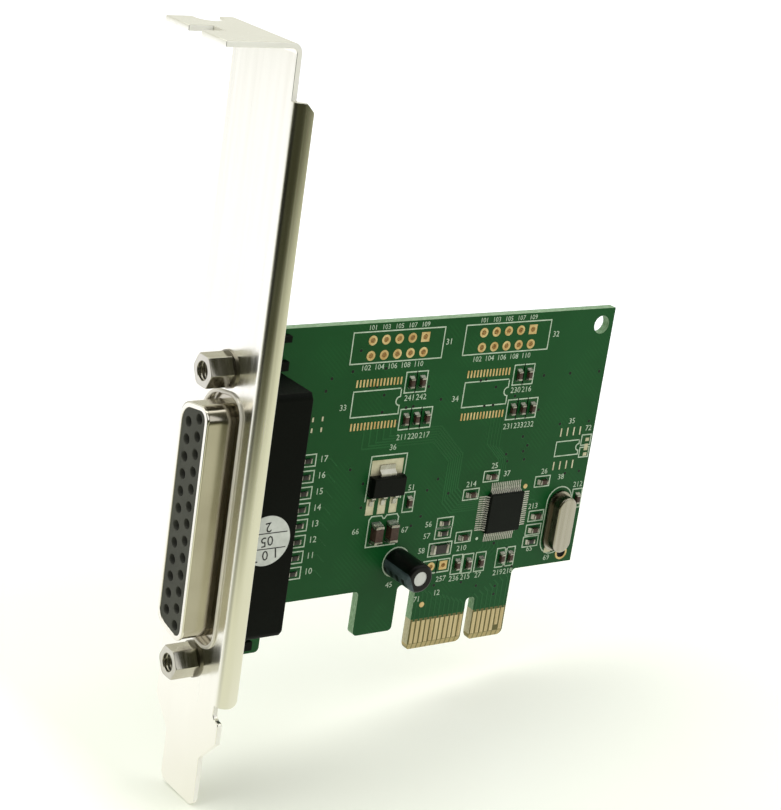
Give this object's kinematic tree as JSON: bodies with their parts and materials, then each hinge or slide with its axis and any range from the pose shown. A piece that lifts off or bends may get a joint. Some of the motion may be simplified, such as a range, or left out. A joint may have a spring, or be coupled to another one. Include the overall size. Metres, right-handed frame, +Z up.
{
  "type": "parallel port expansion card",
  "caption": "Single-lane expansion card with a folded slot bracket, a D-shaped parallel port with jackscrews and a sparsely filled green circuit board.",
  "frame": {"origin": "centre of the key slot of the edge fingers, on the line of the finger ends, half way through the board", "axes": "+X from the bracket towards the far end of the board, +Z up, away from the finger ends and parallel to the bracket; the component side faces -Y"},
  "size_m": [0.0906, 0.0184, 0.12],
  "materials": {
    "plated_steel": "bright nickel plate, finely brushed",
    "solder_mask": "green solder mask over glass-fibre laminate, semi-gloss",
    "contact_gold": "thin gold plate",
    "tinned_shell": "tin-plated drawn steel, satin",
    "black_moulding": "black moulded plastic",
    "insulator_moulding": "dark moulded plastic",
    "contact_alloy": "plated copper alloy",
    "bright_screw": "nickel-plated, bright",
    "paper_label": "coated paper, matte",
    "package_black": "black moulding compound, matte",
    "tinned_lead": "tin plate",
    "can_steel": "nickel-plated can, satin",
    "can_aluminium": "bare aluminium",
    "sleeve_black": "shrunk sleeve, semi-gloss black",
    "bung_rubber": "black rubber",
    "chip_ceramic": "fired ceramic, matte",
    "resistor_black": "dark glaze over ceramic"
  },
  "bodies": {
    "root": {"bracket": "plated_steel", "circuit_board": "solder_mask", "edge_contacts": "contact_gold", "port_shell": "tinned_shell", "port_insulator": "insulator_moulding", "port_housing": "black_moulding", "port_contacts": "contact_alloy", "port_ears": "black_moulding", "threaded_inserts": "contact_alloy", "jackscrews": "bright_screw", "jackscrew_washers": "bright_screw", "inspection_sticker": "paper_label", "controller_body": "package_black", "controller_leads": "tinned_lead", "regulator_body": "package_black", "regulator_leads": "tinned_lead", "crystal_can": "can_steel", "crystal_base": "can_steel", "electrolytic_can": "can_aluminium", "electrolytic_sleeve": "sleeve_black", "electrolytic_bung": "bung_rubber", "electrolytic_leads": "tinned_lead", "chip_capacitors": "chip_ceramic", "chip_capacitor_ends": "tinned_lead", "chip_resistors": "resistor_black", "chip_resistor_ends": "tinned_lead", "filter_capacitors": "chip_ceramic", "filter_capacitor_ends": "tinned_lead", "shunt_resistor": "resistor_black", "shunt_resistor_ends": "tinned_lead"}
  },
  "joints": []
}
